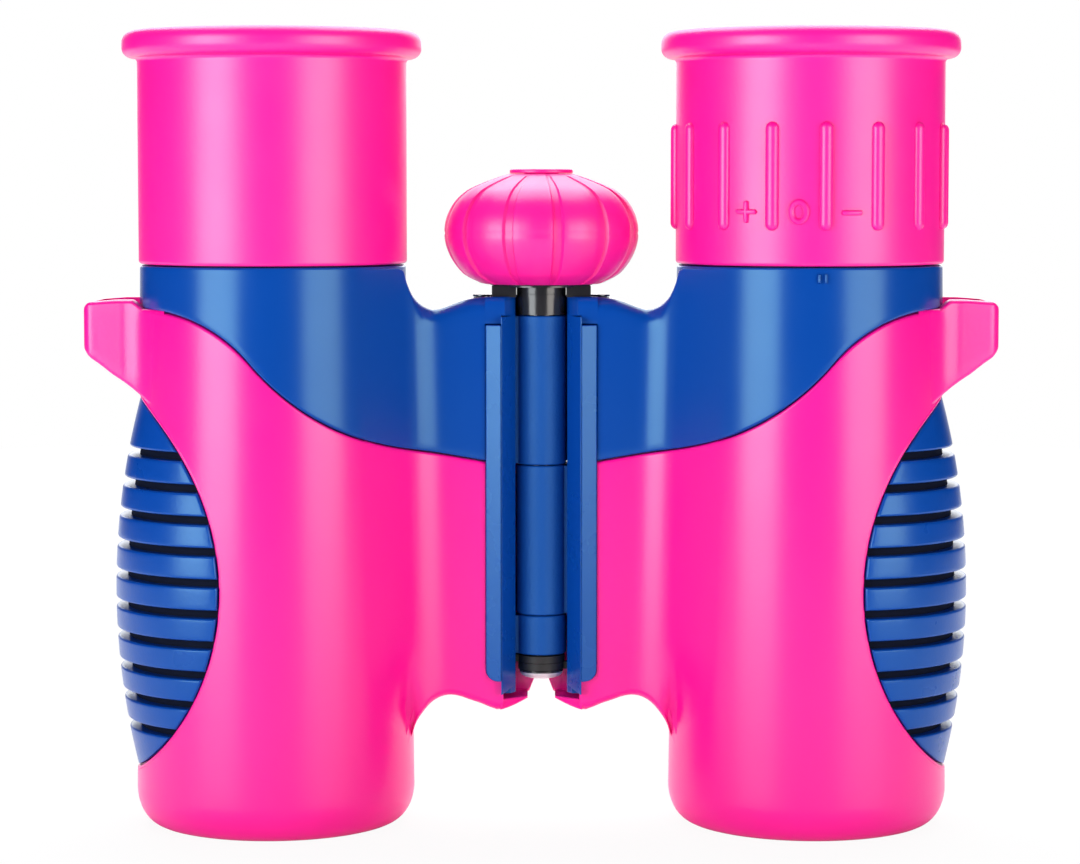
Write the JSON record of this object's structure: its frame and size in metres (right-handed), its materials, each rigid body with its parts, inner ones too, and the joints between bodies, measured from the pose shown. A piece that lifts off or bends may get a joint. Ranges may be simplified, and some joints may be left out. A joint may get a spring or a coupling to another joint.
{
  "type": "binoculars",
  "caption": "Compact folding toy binoculars with rolled eyecups, a ribbed diopter ring, a round focus knob on the hinge, soft armour with strap lugs and ribbed side grips.",
  "frame": {"origin": "point on the hinge axis in the plane of the objective rims, midway between the barrels", "axes": "+X to the right barrel as seen from the pictured side, +Y away from the pictured side, +Z along the hinge axis towards the eyepieces"},
  "size_m": [0.1068, 0.0344, 0.0916],
  "materials": {
    "housing_blue": "satin moulded",
    "rail_blue": "satin moulded",
    "grip_blue": "smooth soft",
    "armour_pink": "smooth soft with a sheen",
    "eyecup_pink": "smooth soft",
    "knob_pink": "satin moulded",
    "collar_black": "gloss",
    "black_plastic": "matt",
    "steel": "turned",
    "steel_black": "blackened",
    "brass": "turned",
    "lens_glass": "coated",
    "prism_glass": "polished"
  },
  "bodies": {
    "left_half": {"left_housing": "housing_blue", "left_armour": "armour_pink", "left_grip": "grip_blue", "left_hinge_rail": "rail_blue", "hinge_axle": "steel", "axle_clip": "steel", "left_front_bezel": "black_plastic", "left_prism_cage": "black_plastic", "left_half_prism": "prism_glass", "left_roof_prism": "prism_glass", "left_eyepiece_tube": "black_plastic", "left_field_lens": "lens_glass", "left_lens_spacer": "black_plastic", "left_eye_lens": "lens_glass", "left_lens_retainer": "black_plastic", "left_eyecup": "eyecup_pink"},
    "right_half": {"right_housing": "housing_blue", "right_armour": "armour_pink", "right_grip": "grip_blue", "right_hinge_rail": "rail_blue", "right_front_bezel": "black_plastic", "right_prism_cage": "black_plastic", "right_half_prism": "prism_glass", "right_roof_prism": "prism_glass", "right_neck_sleeve": "black_plastic"},
    "focus_knob": {"focus_knob": "knob_pink", "knob_cap": "knob_pink", "knob_collar": "collar_black", "knob_washer": "collar_black", "knob_nut": "brass"},
    "left_objective": {"focus_rod": "steel", "rod_end_nut": "steel_black", "left_focus_arm": "black_plastic", "left_objective_cell": "black_plastic", "left_objective_lens": "lens_glass", "left_objective_ring": "black_plastic"},
    "right_objective": {"right_focus_arm": "black_plastic", "right_objective_cell": "black_plastic", "right_objective_lens": "lens_glass", "right_objective_ring": "black_plastic"},
    "diopter_ring": {"diopter_eyecup": "eyecup_pink"},
    "right_eyepiece": {"right_eyepiece_tube": "black_plastic", "right_field_lens": "lens_glass", "right_lens_spacer": "black_plastic", "right_eye_lens": "lens_glass", "right_lens_retainer": "black_plastic", "diopter_key_pin": "steel"}
  },
  "joints": [
    {"name": "fold", "type": "hinge", "parent": "left_half", "child": "right_half", "pos_m": [0, 0, 0.04], "axis": [0, 0, -1], "range_deg": [0, 77]},
    {"name": "focus_turn", "type": "hinge", "parent": "left_half", "child": "focus_knob", "pos_m": [0, 0, 0.068], "axis": [0, 0, 1], "range_deg": [0, 258]},
    {"name": "focus_slide_left", "type": "slide", "parent": "left_half", "child": "left_objective", "axis": [0, 0, -1], "range_m": [0, 0.0018]},
    {"name": "focus_slide_right", "type": "slide", "parent": "right_half", "child": "right_objective", "axis": [0, 0, -1], "range_m": [0, 0.0018]},
    {"name": "diopter_turn", "type": "hinge", "parent": "right_half", "child": "diopter_ring", "pos_m": [0.031, 0, 0.078], "axis": [0, 0, 1], "range_deg": [-20, 38]},
    {"name": "diopter_slide", "type": "slide", "parent": "right_half", "child": "right_eyepiece", "axis": [0, 0, 1], "range_m": [-0.00066, 0.00036]}
  ],
  "couplings": [
    {"joint": "focus_slide_left", "follows": "focus_turn", "m_per_rad": 0.00039789},
    {"joint": "focus_slide_right", "follows": "focus_turn", "m_per_rad": 0.00039789},
    {"joint": "diopter_slide", "follows": "diopter_turn", "m_per_rad": -0.00095493}
  ]
}
